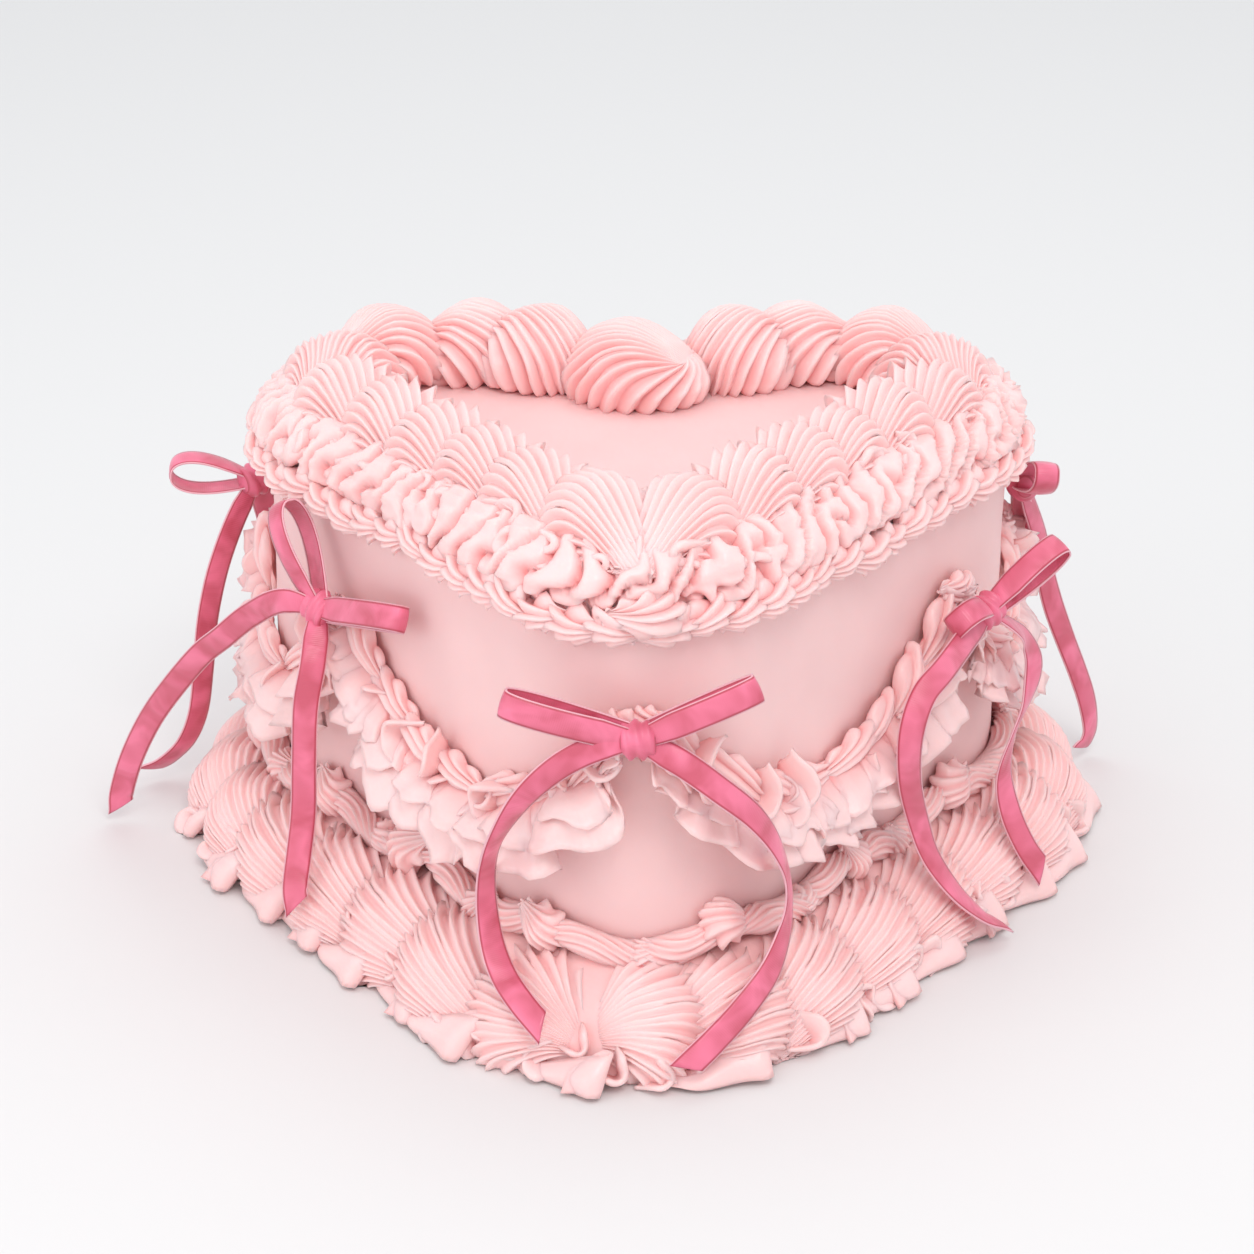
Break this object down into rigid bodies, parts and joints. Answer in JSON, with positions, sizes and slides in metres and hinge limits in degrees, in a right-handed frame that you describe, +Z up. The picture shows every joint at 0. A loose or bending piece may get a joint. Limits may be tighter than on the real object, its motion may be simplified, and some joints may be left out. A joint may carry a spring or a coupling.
{
  "type": "heart shaped cake",
  "caption": "Tall heart shaped celebration cake in pale pink icing, with fluted shell borders, petal swags and satin ribbon bows, for a party table or bakery scene.",
  "frame": {"origin": "centre of the heart's outline, on the flat underside that the cake stands on", "axes": "+Z up, +Y from the point of the heart toward the cleft between its lobes, +X to the right lobe as seen from the point"},
  "size_m": [0.2852, 0.239, 0.1422],
  "materials": {
    "smooth_icing": "soft pale pink icing, smoothed",
    "piped_icing": "soft pale pink icing, piped, with a faint gloss",
    "satin_ribbon": "deep rose satin ribbon"
  },
  "bodies": {
    "root": {"cake_body": "smooth_icing", "top_shells": "piped_icing", "top_ruffle": "piped_icing", "rim_beads": "piped_icing", "base_rope": "piped_icing", "base_shells": "piped_icing", "swag_rear_left": "piped_icing", "swag_left": "piped_icing", "swag_front_left": "piped_icing", "swag_front_right": "piped_icing", "swag_right": "piped_icing", "swag_rear_right": "piped_icing", "bow_front": "satin_ribbon", "bow_left": "satin_ribbon", "bow_right": "satin_ribbon", "bow_rear_left": "satin_ribbon", "bow_rear_right": "satin_ribbon", "bow_cleft": "satin_ribbon"}
  },
  "joints": []
}
